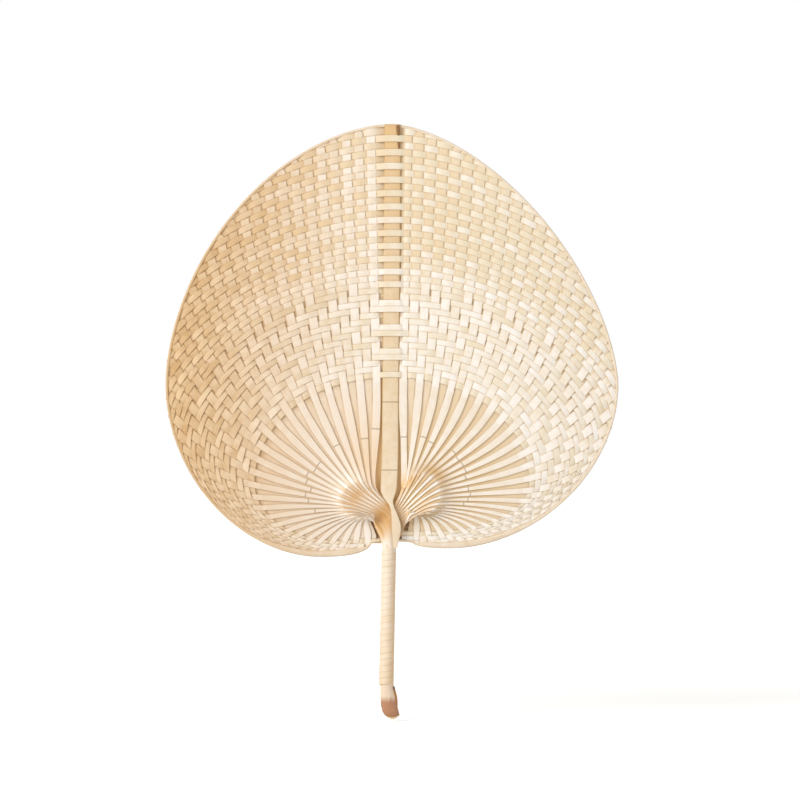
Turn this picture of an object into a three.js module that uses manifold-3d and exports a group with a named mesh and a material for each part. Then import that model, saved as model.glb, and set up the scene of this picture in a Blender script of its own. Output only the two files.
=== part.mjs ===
import * as THREE from 'three';
import { mergeVertices } from 'three/addons/utils/BufferGeometryUtils.js';
import Module from 'manifold-3d';

// A rigid woven bamboo hand fan, in millimetres.
// The leaf stands in the XZ plane and its front looks along -Y.
// The origin is the middle of the wound grip, and +Z runs up the handle to the leaf.

// Leaf outline
const leafWidth = 300;
const leafTopHeight = 326.5;
const widestHeight = 153.6;
const leftLobeBottom = 39.7;
const rightLobeBottom = 45.4;
const leftLobeOffset = 47.7;
const rightLobeOffset = 38.4;
const leftShoulderPower = 1.8;
const rightShoulderPower = 1.62;
const lobePower = 1.9;
const cornerOffset = 13.5;
const cornerHeight = 49;
const cornerRound = 2.5;
const rimWidth = 3;
const rimThickness = 2.6;
const rimTailWidth = 1.6;

// Open ring round each eye, where the stakes show without wefts
const eyeShare = 0.3614;
const ringHalfWidth = 89;
const ringRise = 71.5;
const ringLowerSpan = 68;
const ringLowerDrop = 26;
const eyeHeight = cornerHeight + (widestHeight - cornerHeight) * eyeShare;

// Stakes, the splints that fan out from the neck
const stakesPerSide = 17;
const stakeThickness = 0.45;
const stakeGap = 4.8;
const stakeSideGap = 0.5;
const stakeButtTop = 75.5;
const stakeButtBottom = 57.5;
const stakeLeaveLean = 42;
const stakeLeaveReach = 0.26;
const stakeLeaveReachWide = 0.38;
const stakeArriveReach = 0.56;
const stakeArriveReachWide = 0.4;
const stakeLastLean = 178;
const stakeLeanPower = 1.57;
const rimSpreadAngle = 168;
const rimSpreadSway = 11;
const stakeEdgeShare = 0.48;
const stakeFlatShare = 0.97;

// Wefts, the splints woven across the stakes
const weftRows = 21;
const weftStart = 2.8;
const weftThickness = 0.4;
const weftGap = 0.6;
const weftTip = 1.6;
const weftOverrun = 7;

// Centre rib
const ribWidth = 10.6;
const ribThickness = 1.4;
const ribTaperStart = 98;
const ribNeckHeight = 77.5;
const ribTailWidth = 3.2;
const ribTailDepth = 12;

// Handle
const gripLength = 94;
const gripLean = 1.12;
const gripOffset = 2;
const coreRadius = 4.1;
const tongueWidth = 5.2;
const tongueDepth = 8.2;
const tongueTop = 77;
const neckWidth = 15.6;
const neckWideHeight = 57;
const neckFootWidth = 7.6;
const neckCollar = 1.2;
const tipLength = 20.5;
const tipWidth = 11.6;
const tipDepth = 7.4;
const tipShift = 2.4;
const tipSlant = 3.2;
const sliverLength = 14;
const sliverWidth = 2.6;
const sliverDepth = 3.4;

// Binding wound round the grip
const bindingTurns = 22;
const bindingThickness = 0.5;
const bindingGap = 0.55;
const bindingSteps = 16;

// Fits
const clearance = 0.3;
const rimClearance = 0.5;

const paleBamboo = new THREE.MeshStandardMaterial({ color: 0xe9d3a6, roughness: 0.62, metalness: 0 });
const tanBamboo = new THREE.MeshStandardMaterial({ color: 0xdcbb86, roughness: 0.65, metalness: 0 });
const rimBamboo = new THREE.MeshStandardMaterial({ color: 0xcfa873, roughness: 0.6, metalness: 0 });
const coreBamboo = new THREE.MeshStandardMaterial({ color: 0xc99b68, roughness: 0.55, metalness: 0 });
const bindingBamboo = new THREE.MeshStandardMaterial({ color: 0xecd9b4, roughness: 0.55, metalness: 0 });

const wasm = await Module();
wasm.setup();

const degrees = THREE.MathUtils.degToRad;
const clamp = THREE.MathUtils.clamp;
const lerp = THREE.MathUtils.lerp;

// Joins sections into one closed body with flat ends.
// Facing sides are split along the same diagonal, so that a twisted strip keeps its thickness.
function loftSections(sections) {
  const positions = [];
  const triangles = [];
  const corners = sections[0].length;
  for (const section of sections) {
    for (const point of section) {
      positions.push(point.x, point.y, point.z);
    }
  }
  for (let step = 0; step + 1 < sections.length; step++) {
    const near = step * corners;
    const far = near + corners;
    for (let side = 0; side < corners; side++) {
      const next = (side + 1) % corners;
      if (side < corners / 2) {
        triangles.push(near + side, far + side, far + next);
        triangles.push(near + side, far + next, near + next);
      } else {
        triangles.push(near + side, far + side, near + next);
        triangles.push(far + side, far + next, near + next);
      }
    }
  }
  const last = (sections.length - 1) * corners;
  for (let side = 1; side + 1 < corners; side++) {
    triangles.push(0, side, side + 1);
    triangles.push(last, last + side + 1, last + side);
  }
  const geometry = new THREE.BufferGeometry();
  geometry.setAttribute('position', new THREE.Float32BufferAttribute(positions, 3));
  geometry.setIndex(triangles);
  if (signedVolume(geometry) < 0) {
    for (let start = 0; start < triangles.length; start += 3) {
      const second = triangles[start + 1];
      triangles[start + 1] = triangles[start + 2];
      triangles[start + 2] = second;
    }
    geometry.setIndex(triangles);
  }
  geometry.computeVertexNormals();
  return geometry;
}

function signedVolume(geometry) {
  const position = geometry.attributes.position;
  const index = geometry.index;
  const a = new THREE.Vector3();
  const b = new THREE.Vector3();
  const c = new THREE.Vector3();
  let volume = 0;
  for (let start = 0; start < index.count; start += 3) {
    a.fromBufferAttribute(position, index.getX(start));
    b.fromBufferAttribute(position, index.getX(start + 1));
    c.fromBufferAttribute(position, index.getX(start + 2));
    volume += a.dot(b.cross(c)) / 6;
  }
  return volume;
}

function toSolid(geometry) {
  const bare = geometry.clone();
  for (const name of Object.keys(bare.attributes)) {
    if (name !== 'position') {
      bare.deleteAttribute(name);
    }
  }
  const merged = mergeVertices(bare, 1e-4);
  const mesh = new wasm.Mesh({
    numProp: 3,
    vertProperties: Float32Array.from(merged.attributes.position.array),
    triVerts: Uint32Array.from(merged.index.array),
  });
  return new wasm.Manifold(mesh);
}

function toGeometry(solid) {
  const mesh = solid.getMesh();
  const geometry = new THREE.BufferGeometry();
  geometry.setAttribute('position', new THREE.Float32BufferAttribute(mesh.vertProperties, 3));
  geometry.setIndex(new THREE.BufferAttribute(new Uint32Array(mesh.triVerts), 1));
  geometry.computeVertexNormals();
  return geometry;
}

const sides = [
  {
    name: 'left',
    sign: -1,
    lobeBottom: leftLobeBottom,
    lobeOffset: leftLobeOffset,
    shoulderPower: leftShoulderPower,
  },
  {
    name: 'right',
    sign: 1,
    lobeBottom: rightLobeBottom,
    lobeOffset: rightLobeOffset,
    shoulderPower: rightShoulderPower,
  },
];

// Half outline: a superellipse shoulder from the top to the widest point, then a lobe.
// The angle is seen from the middle of the widest line: 0 is the top and 180 is straight down.
function outlinePoint(side, angle) {
  const halfWidth = leafWidth / 2;
  if (angle <= 90) {
    const rise = leafTopHeight - widestHeight;
    const sine = Math.sin(degrees(angle));
    const cosine = Math.max(0, Math.cos(degrees(angle)));
    const power = side.shoulderPower;
    const sum = Math.pow(sine / halfWidth, power) + Math.pow(cosine / rise, power);
    const reach = Math.pow(sum, -1 / power);
    return new THREE.Vector2(reach * sine, widestHeight + reach * cosine);
  }
  let low = 0;
  let high = 180;
  for (let turn = 0; turn < 30; turn++) {
    const middle = (low + high) / 2;
    const point = lobePoint(side, middle);
    const seen = 90 + THREE.MathUtils.radToDeg(Math.atan2(widestHeight - point.y, point.x));
    if (seen < angle) {
      low = middle;
    } else {
      high = middle;
    }
  }
  return lobePoint(side, low);
}

// Lobe from the widest point to its lowest point at a turn of 90, then the edge back to the neck.
function lobePoint(side, turn) {
  if (turn > 90) {
    const lowest = new THREE.Vector2(side.lobeOffset, side.lobeBottom);
    const round = new THREE.Vector2(cornerOffset + cornerRound, side.lobeBottom);
    const corner = new THREE.Vector2(cornerOffset, cornerHeight);
    return new THREE.QuadraticBezierCurve(lowest, round, corner).getPoint(turn / 90 - 1);
  }
  const power = 2 / lobePower;
  const span = leafWidth / 2 - side.lobeOffset;
  const drop = widestHeight - side.lobeBottom;
  const across = side.lobeOffset + span * Math.pow(Math.max(0, Math.cos(degrees(turn))), power);
  const down = drop * Math.pow(Math.sin(degrees(turn)), power);
  return new THREE.Vector2(across, widestHeight - down);
}

// The same outline moved inward by a distance square to the edge.
function insetPoint(side, angle, distance) {
  const before = outlinePoint(side, Math.max(0, angle - 0.5));
  const after = outlinePoint(side, angle + 0.5);
  if (angle < 0.5) {
    before.x = -after.x;
    before.y = after.y;
  }
  const along = after.clone().sub(before).normalize();
  const inward = new THREE.Vector2(along.y, -along.x);
  return outlinePoint(side, angle).addScaledVector(inward, distance);
}

// Inner edge of the weave: a quarter ellipse over the eye and another one under it.
const ringCurve = new THREE.CurvePath();
ringCurve.add(new THREE.EllipseCurve(
  0, eyeHeight, ringHalfWidth, ringRise, Math.PI / 2, 0, true,
));
ringCurve.add(new THREE.EllipseCurve(
  ringHalfWidth - ringLowerSpan, eyeHeight, ringLowerSpan, ringLowerDrop, 0, -Math.PI / 2, true,
));
const ringLength = ringCurve.getLength();
const ribShare = (ribWidth / 2 + clearance) / ringLength;
const stakeShare = (1 - ribShare) / (stakesPerSide + 0.5);
const edgeInset = rimWidth + rimClearance;

function stakePlace(index) {
  return ribShare + stakeShare * (index + 0.5);
}

function ringPoint(place) {
  if (place <= 1) {
    return ringCurve.getPointAt(Math.max(0, place));
  }
  const end = ringCurve.getPointAt(1);
  end.x -= (place - 1) * ringLength;
  return end;
}

function leanDirection(lean) {
  return new THREE.Vector2(Math.sin(degrees(lean)), Math.cos(degrees(lean)));
}

function ringLean(place) {
  return stakeLastLean * Math.pow(clamp(place, 0, 1.1), stakeLeanPower);
}

function rimAngle(place) {
  return rimSpreadAngle * place - rimSpreadSway * Math.sin(2 * Math.PI * place);
}

// Woven stretch of the stake at this place, from the ring to the rim.
function wovenCurve(side, place) {
  const start = ringPoint(place);
  const end = insetPoint(side, rimAngle(place), edgeInset);
  const reach = start.distanceTo(end) * 0.45;
  const control = start.clone().addScaledVector(leanDirection(ringLean(place)), reach);
  return new THREE.QuadraticBezierCurve(start, control, end);
}

function wovenLength(side, place) {
  const curve = wovenCurve(side, place);
  return curve.v0.distanceTo(curve.v2);
}

function wovenPoint(side, place, distance) {
  const curve = wovenCurve(side, place);
  return curve.getPoint(distance / curve.v0.distanceTo(curve.v2));
}

// Millimetres across the stakes for one unit of place, at a distance from the ring.
function crossScale(side, place, distance) {
  const step = 0.002;
  const share = Math.min(1, distance / wovenLength(side, place));
  const before = wovenCurve(side, Math.max(0, place - step)).getPoint(share);
  const after = wovenCurve(side, place + step).getPoint(share);
  const tangent = wovenCurve(side, place).getTangent(clamp(share, 0.001, 0.999));
  const across = after.sub(before);
  return Math.abs(across.x * tangent.y - across.y * tangent.x) / (place + step - Math.max(0, place - step));
}

// Least room for one stake between its neighbours, from the ring to the rim on both sides.
function leastStakeRoom() {
  let least = Infinity;
  for (const side of sides) {
    for (let index = 0; index < stakesPerSide; index++) {
      for (const share of [0, 0.25, 0.5, 0.75, 1]) {
        const place = stakePlace(index);
        const across = crossScale(side, place, share * wovenLength(side, place));
        least = Math.min(least, across * stakeShare);
      }
    }
  }
  return least;
}

const stakeWidth = Math.min(stakeShare * ringLength - stakeGap, leastStakeRoom() - stakeSideGap);

// The neck is a wedge that widens downward, and the stakes leave its slanting sides.
function neckHalfWidth(height) {
  return lerp(tongueWidth, neckWidth, (tongueTop - height) / (tongueTop - neckWideHeight)) / 2;
}

// Free stretch of the stake, from its butt at the neck over the eye to the ring.
function freeCurve(place) {
  const height = lerp(stakeButtTop, stakeButtBottom, clamp(place, 0, 1));
  const start = new THREE.Vector2(neckHalfWidth(height) + clearance + stakeThickness, height);
  const end = ringPoint(place);
  const chord = start.distanceTo(end);
  const wide = THREE.MathUtils.smoothstep(place, 0, 0.5);
  const leaveReach = chord * lerp(stakeLeaveReach, stakeLeaveReachWide, wide);
  const arriveReach = chord * lerp(stakeArriveReach, stakeArriveReachWide, wide);
  const leave = start.clone().addScaledVector(leanDirection(stakeLeaveLean), leaveReach);
  const arrive = end.clone().addScaledVector(leanDirection(ringLean(place)), -arriveReach);
  return new THREE.CubicBezierCurve(start, leave, arrive, end);
}

// A stake stands on edge at the neck, like a page, and turns flat by the time it meets the ring.
function freeTwist(share) {
  return Math.PI / 2 * clamp((stakeFlatShare - share) / (stakeFlatShare - stakeEdgeShare), 0, 1);
}

// One four-cornered section, turned by a twist about the direction of travel.
function splintSection(side, point, tangent, width, thickness, twist) {
  const normal = new THREE.Vector2(tangent.y, -tangent.x);
  const wide = new THREE.Vector3(normal.x * Math.cos(twist), -Math.sin(twist), normal.y * Math.cos(twist));
  const thin = new THREE.Vector3(normal.x * Math.sin(twist), Math.cos(twist), normal.y * Math.sin(twist));
  const section = [];
  for (const [across, through] of [[-1, -1], [1, -1], [1, 1], [-1, 1]]) {
    const corner = new THREE.Vector3(point.x, 0, point.y);
    corner.addScaledVector(wide, across * width / 2);
    corner.addScaledVector(thin, through * thickness / 2);
    corner.x *= side.sign;
    section.push(corner);
  }
  return section;
}

function makeStake(side, index) {
  const place = stakePlace(index);
  const sections = [];
  const freeSteps = 14;
  const free = freeCurve(place);
  for (let step = 0; step < freeSteps; step++) {
    const share = step / freeSteps;
    const twist = freeTwist(share);
    const tangent = free.getTangent(clamp(share, 0.001, 0.999));
    sections.push(splintSection(side, free.getPoint(share), tangent, stakeWidth, stakeThickness, twist));
  }
  const woven = wovenCurve(side, place);
  const wovenSteps = 5;
  for (let step = 0; step < wovenSteps; step++) {
    const share = step / wovenSteps;
    const tangent = woven.getTangent(clamp(share, 0.001, 0.999));
    sections.push(splintSection(side, woven.getPoint(share), tangent, stakeWidth, stakeThickness, 0));
  }
  const length = wovenLength(side, place);
  const half = stakeWidth / 2 / crossScale(side, place, length);
  const section = [];
  for (const [across, through] of [[1, -1], [-1, -1], [-1, 1], [1, 1]]) {
    const edge = place - across * half;
    const point = wovenPoint(side, edge, wovenLength(side, edge));
    section.push(new THREE.Vector3(side.sign * point.x, through * stakeThickness / 2, point.y));
  }
  sections.push(section);
  return loftSections(sections);
}

const ribRun = wovenLength(sides[1], 0);
const weftPitch = (ribRun - weftStart) / weftRows;
const weftWidth = weftPitch - weftGap;
const weftOffset = stakeThickness / 2 + clearance + weftThickness / 2;
const ribOffset = ribThickness / 2 + clearance + weftThickness / 2;

// Two over and two under, one step further on each row, mirrored about the rib.
function weftFace(stakeNumber, row) {
  return (stakeNumber + row) % 4 < 2 ? -1 : 1;
}

function weftSection(side, lowPlace, highPlace, lowReach, highReach, depth) {
  const low = wovenPoint(side, lowPlace, lowReach);
  const high = wovenPoint(side, highPlace, highReach);
  const front = depth - weftThickness / 2;
  const back = depth + weftThickness / 2;
  return [
    new THREE.Vector3(side.sign * low.x, front, low.y),
    new THREE.Vector3(side.sign * high.x, front, high.y),
    new THREE.Vector3(side.sign * high.x, back, high.y),
    new THREE.Vector3(side.sign * low.x, back, low.y),
  ];
}

// Sections of one row on one side, from the rib out to the rim.
function weftHalf(side, row) {
  const lowReach = weftStart + row * weftPitch;
  const fullReach = lowReach + weftWidth;
  const sections = [];
  const ribHalf = (ribWidth / 2 + clearance) / ringLength;
  const highStart = Math.min(fullReach, wovenLength(side, ribHalf));
  sections.push(weftSection(side, ribHalf, ribHalf, lowReach, highStart, weftFace(0, row) * ribOffset));
  let lastPlace = ribHalf;
  for (let index = 0; index < stakesPerSide; index++) {
    const depth = weftFace(index + 1, row) * weftOffset;
    for (const edge of [-1, 1]) {
      const place = stakePlace(index);
      const span = stakeWidth / 2 + clearance / 2;
      const lowPlace = place + edge * span / crossScale(side, place, lowReach);
      const room = wovenLength(side, lowPlace);
      if (room - lowReach < weftTip) {
        return closeWeft(side, sections, lastPlace, lowPlace, lowReach);
      }
      let highReach = Math.min(fullReach, room);
      const highPlace = place + edge * span / crossScale(side, place, highReach);
      highReach = Math.min(highReach, wovenLength(side, highPlace));
      if (highReach - lowReach < weftTip) {
        return closeWeft(side, sections, lastPlace, highPlace, lowReach);
      }
      sections.push(weftSection(side, lowPlace, highPlace, lowReach, highReach, depth));
      lastPlace = Math.max(lowPlace, highPlace);
    }
  }
  const endPlace = 1 + weftOverrun / ringLength;
  const endDepth = weftFace(stakesPerSide, row) * weftOffset;
  const endReach = Math.min(fullReach, wovenLength(side, endPlace));
  if (endReach - lowReach < weftTip) {
    return closeWeft(side, sections, lastPlace, endPlace, lowReach);
  }
  sections.push(weftSection(side, endPlace, endPlace, lowReach, endReach, endDepth));
  return sections;
}

// Ends a row that runs out against the rim, at the place where only its tip is left.
function closeWeft(side, sections, nearPlace, farPlace, lowReach) {
  let near = nearPlace;
  let far = farPlace;
  for (let turn = 0; turn < 30; turn++) {
    const middle = (near + far) / 2;
    if (wovenLength(side, middle) - lowReach < weftTip) {
      far = middle;
    } else {
      near = middle;
    }
  }
  const depth = (sections[sections.length - 1][0].y + sections[sections.length - 1][2].y) / 2;
  const fullReach = lowReach + weftWidth;
  for (const share of [0.35, 0.7, 1]) {
    const place = lerp(nearPlace, near, share);
    const highReach = Math.min(fullReach, wovenLength(side, place));
    sections.push(weftSection(side, place, place, lowReach, highReach, depth));
  }
  return sections;
}

function makeWeft(row) {
  const left = weftHalf(sides[0], row).reverse();
  const right = weftHalf(sides[1], row);
  return loftSections(left.concat(right));
}

// Edging splint, from the left of the neck round the leaf to the right of the neck.
function rimSide(side) {
  const points = [];
  const shoulderSteps = 20;
  const lobeSteps = 12;
  const cornerSteps = 7;
  for (let step = 1; step <= shoulderSteps; step++) {
    points.push(outlinePoint(side, 90 * step / shoulderSteps));
  }
  for (let step = 1; step <= lobeSteps; step++) {
    points.push(lobePoint(side, 90 * step / lobeSteps));
  }
  for (let step = 1; step <= cornerSteps; step++) {
    points.push(lobePoint(side, 90 + 90 * step / cornerSteps));
  }
  const neckShare = (cornerHeight - gripLength / 2) / (neckWideHeight - gripLength / 2);
  const neckSide = lerp(neckFootWidth, neckWidth, neckShare) / 2 + 3 * clearance;
  points.push(new THREE.Vector2(Math.min(neckSide, cornerOffset - cornerRound), cornerHeight));
  for (const point of points) {
    point.x *= side.sign;
  }
  return points;
}

function makeRim() {
  const left = rimSide(sides[0]).reverse();
  const right = rimSide(sides[1]);
  const points = left.concat([new THREE.Vector2(0, leafTopHeight)], right);
  const sections = [];
  const last = points.length - 1;
  for (let index = 0; index <= last; index++) {
    const before = points[Math.max(0, index - 1)];
    const after = points[Math.min(last, index + 1)];
    const along = after.clone().sub(before).normalize();
    const inward = new THREE.Vector2(along.y, -along.x);
    const tail = index < 2 || index > last - 2;
    const inner = points[index].clone().addScaledVector(inward, tail ? rimTailWidth : rimWidth);
    const outer = points[index];
    sections.push([
      new THREE.Vector3(outer.x, -rimThickness / 2, outer.y),
      new THREE.Vector3(inner.x, -rimThickness / 2, inner.y),
      new THREE.Vector3(inner.x, rimThickness / 2, inner.y),
      new THREE.Vector3(outer.x, rimThickness / 2, outer.y),
    ]);
  }
  return loftSections(sections);
}

// Flat slat up the middle of the leaf, drawn to a tail that seats in the split of the neck.
function makeRib() {
  const tailBottom = tongueTop - ribTailDepth;
  const seenAngle = THREE.MathUtils.radToDeg(Math.atan2(ribWidth / 2, leafTopHeight - widestHeight));
  const tops = sides.map((side) => insetPoint(side, seenAngle, edgeInset).y);
  const top = Math.min(...tops) - clearance;
  const outline = new THREE.Shape();
  outline.moveTo(-ribTailWidth / 2, tailBottom);
  outline.lineTo(ribTailWidth / 2, tailBottom);
  outline.lineTo(ribTailWidth / 2, ribNeckHeight);
  outline.quadraticCurveTo(ribWidth / 2, lerp(ribNeckHeight, ribTaperStart, 0.5), ribWidth / 2, ribTaperStart);
  outline.lineTo(ribWidth / 2, top);
  outline.lineTo(-ribWidth / 2, top);
  outline.lineTo(-ribWidth / 2, ribTaperStart);
  outline.quadraticCurveTo(
    -ribWidth / 2, lerp(ribNeckHeight, ribTaperStart, 0.5), -ribTailWidth / 2, ribNeckHeight,
  );
  outline.closePath();
  const geometry = new THREE.ExtrudeGeometry(outline, {
    depth: ribThickness, bevelEnabled: false, curveSegments: 6,
  });
  geometry.rotateX(Math.PI / 2);
  geometry.translate(0, ribThickness / 2, 0);
  return geometry;
}

// The grip stands a little left of the leaf's centre line and leans further left below the neck.
function gripShift(height) {
  return Math.min(0, height - gripLength / 2) * Math.tan(degrees(gripLean)) - gripOffset;
}

function ovalSection(height, width, depth, shift, slant) {
  const section = [];
  const count = 16;
  for (let index = 0; index < count; index++) {
    const turn = 2 * Math.PI * index / count;
    const across = Math.cos(turn) * width / 2;
    const through = Math.sin(turn) * depth / 2;
    const drop = slant * Math.cos(turn) / 2;
    section.push(new THREE.Vector3(gripShift(height) + shift + across, through, height - drop));
  }
  return section;
}

// Thin split of bamboo that stands up beside the tip and comes to a point under the binding.
function makeSliver() {
  const top = -gripLength / 2 - 2 * clearance;
  const bottom = top - sliverLength;
  const sections = [];
  for (const [share, side] of [[0, 0.58], [0.5, 0.58], [1, 0.46]]) {
    const height = lerp(bottom, top, share);
    const width = sliverWidth * lerp(1, 0.25, share);
    const depth = sliverDepth * lerp(1, 0.35, share);
    sections.push(boxSection(gripShift(height) + tipWidth * side - width / 2, height, width, depth));
  }
  return loftSections(sections);
}

function boxSection(middle, height, width, depth) {
  return [
    new THREE.Vector3(middle - width / 2, -depth / 2, height),
    new THREE.Vector3(middle + width / 2, -depth / 2, height),
    new THREE.Vector3(middle + width / 2, depth / 2, height),
    new THREE.Vector3(middle - width / 2, depth / 2, height),
  ];
}

// Bamboo rod of the grip, with its flared cut tip below and the split tongue of the neck above.
function makeCore() {
  const round = 2 * coreRadius;
  const gripEnd = -gripLength / 2;
  const rod = toSolid(loftSections([
    ovalSection(gripEnd - tipLength, tipWidth * 0.72, tipDepth * 0.8, tipShift, tipSlant),
    ovalSection(gripEnd - tipLength * 0.86, tipWidth * 0.94, tipDepth * 0.95, tipShift * 0.8, tipSlant * 0.6),
    ovalSection(gripEnd - tipLength * 0.5, tipWidth, tipDepth, tipShift * 0.4, 0),
    ovalSection(gripEnd - tipLength * 0.2, lerp(round, tipWidth, 0.4), lerp(round, tipDepth, 0.4), 0, 0),
    ovalSection(gripEnd, round, round, 0, 0),
    ovalSection(gripLength / 2 + neckCollar, round, round, 0, 0),
  ]));
  const tongueRoot = gripLength / 2 + clearance;
  const wedge = new THREE.Shape();
  wedge.moveTo(-neckFootWidth / 2, tongueRoot);
  wedge.lineTo(neckFootWidth / 2, tongueRoot);
  wedge.lineTo(neckWidth / 2, neckWideHeight);
  wedge.lineTo(tongueWidth / 2, tongueTop);
  wedge.lineTo(-tongueWidth / 2, tongueTop);
  wedge.lineTo(-neckWidth / 2, neckWideHeight);
  wedge.closePath();
  const tongueBox = new THREE.ExtrudeGeometry(wedge, { depth: tongueDepth, bevelEnabled: false });
  tongueBox.rotateX(Math.PI / 2);
  tongueBox.translate(0, tongueDepth / 2, 0);
  const slotHeight = ribTailDepth + clearance;
  const slotBox = new THREE.BoxGeometry(
    ribTailWidth + 2 * clearance, ribThickness + 2 * clearance, 2 * slotHeight,
  );
  slotBox.translate(0, 0, tongueTop);
  const body = rod.add(toSolid(makeSliver())).add(toSolid(tongueBox));
  return toGeometry(body.subtract(toSolid(slotBox)));
}

// One flat splint wound round the grip from end to end.
function makeBinding() {
  const pitch = gripLength / (bindingTurns + 1);
  const width = pitch - bindingGap;
  const inner = coreRadius + clearance;
  const outer = inner + bindingThickness;
  const start = -gripLength / 2 + width / 2;
  const rise = gripLength - width;
  const steps = bindingTurns * bindingSteps;
  const sections = [];
  for (let step = 0; step <= steps; step++) {
    const turn = 2 * Math.PI * step / bindingSteps;
    const height = start + rise * step / steps;
    sections.push(bindingSection(turn, height, width, inner, outer, 0));
  }
  const lastTurn = 2 * Math.PI * bindingTurns;
  sections.unshift(bindingSection(0, start, width, inner, outer, -width));
  sections.push(bindingSection(lastTurn, start + rise, width, inner, outer, width));
  console.log('least gap between binding turns: ' + leastGap(sections).toFixed(2) + ' mm');
  return loftSections(sections);
}

function bindingSection(turn, height, width, inner, outer, slide) {
  const radial = new THREE.Vector3(Math.cos(turn), Math.sin(turn), 0);
  const along = new THREE.Vector3(-Math.sin(turn), Math.cos(turn), 0);
  const section = [];
  for (const [reach, lift] of [[inner, -1], [outer, -1], [outer, 1], [inner, 1]]) {
    const corner = radial.clone().multiplyScalar(reach).addScaledVector(along, slide);
    corner.z = height + lift * width / 2;
    corner.x += gripShift(corner.z);
    section.push(corner);
  }
  return section;
}

function leastGap(sections) {
  let least = Infinity;
  for (let first = 0; first < sections.length; first++) {
    const farEnough = first + Math.floor(bindingSteps / 2);
    const end = Math.min(sections.length, first + 2 * bindingSteps);
    for (let second = farEnough; second < end; second++) {
      for (const near of sections[first]) {
        for (const far of sections[second]) {
          least = Math.min(least, near.distanceTo(far));
        }
      }
    }
  }
  return least;
}

const group = new THREE.Group();

// The leaf and the grip move over together, so that the middle of the grip is the origin.
const axisOffset = -gripShift(0);

function addPart(name, geometry, material, parent = group) {
  geometry.translate(axisOffset, 0, 0);
  const mesh = new THREE.Mesh(geometry, material);
  mesh.name = name;
  parent.add(mesh);
}

for (const side of sides) {
  for (let index = 0; index < stakesPerSide; index++) {
    const label = String(index + 1).padStart(2, '0');
    addPart('stake_' + side.name + '_' + label, makeStake(side, index), tanBamboo);
  }
}

for (let row = 0; row < weftRows; row++) {
  const label = String(row + 1).padStart(2, '0');
  addPart('weft_row_' + label, makeWeft(row), paleBamboo);
}

addPart('rim_edging', makeRim(), rimBamboo);
addPart('centre_rib', makeRib(), paleBamboo);
addPart('handle_core', makeCore(), coreBamboo);
addPart('handle_binding', makeBinding(), bindingBamboo);

export default group;
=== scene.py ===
import bpy
import math
import random
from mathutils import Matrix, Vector


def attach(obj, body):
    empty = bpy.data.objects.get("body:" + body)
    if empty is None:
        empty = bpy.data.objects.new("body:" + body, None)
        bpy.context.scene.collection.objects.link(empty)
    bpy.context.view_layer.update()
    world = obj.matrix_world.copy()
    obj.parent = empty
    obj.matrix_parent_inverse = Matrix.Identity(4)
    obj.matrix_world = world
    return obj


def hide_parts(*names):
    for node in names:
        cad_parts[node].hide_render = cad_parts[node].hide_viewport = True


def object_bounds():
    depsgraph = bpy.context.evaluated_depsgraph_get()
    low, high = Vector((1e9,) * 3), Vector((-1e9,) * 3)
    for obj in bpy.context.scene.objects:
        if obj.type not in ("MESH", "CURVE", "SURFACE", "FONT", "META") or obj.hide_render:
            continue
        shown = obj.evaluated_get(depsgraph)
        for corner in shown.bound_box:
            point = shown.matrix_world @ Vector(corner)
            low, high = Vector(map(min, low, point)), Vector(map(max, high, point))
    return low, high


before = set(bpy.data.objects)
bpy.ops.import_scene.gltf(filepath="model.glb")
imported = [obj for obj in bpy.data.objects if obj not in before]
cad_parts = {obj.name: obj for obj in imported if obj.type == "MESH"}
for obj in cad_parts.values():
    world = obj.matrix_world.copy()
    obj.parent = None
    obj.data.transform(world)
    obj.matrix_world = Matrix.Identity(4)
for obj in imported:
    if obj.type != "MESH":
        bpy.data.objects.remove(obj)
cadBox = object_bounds()
print("frame loaded:", len(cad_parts), "nodes")

# A rigid fan woven from split bamboo. Sizes below are in millimetres, and the scene is in metres.
# The leaf stands in the XZ plane, its front looks along -Y, and the origin is the middle of the grip.

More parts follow.
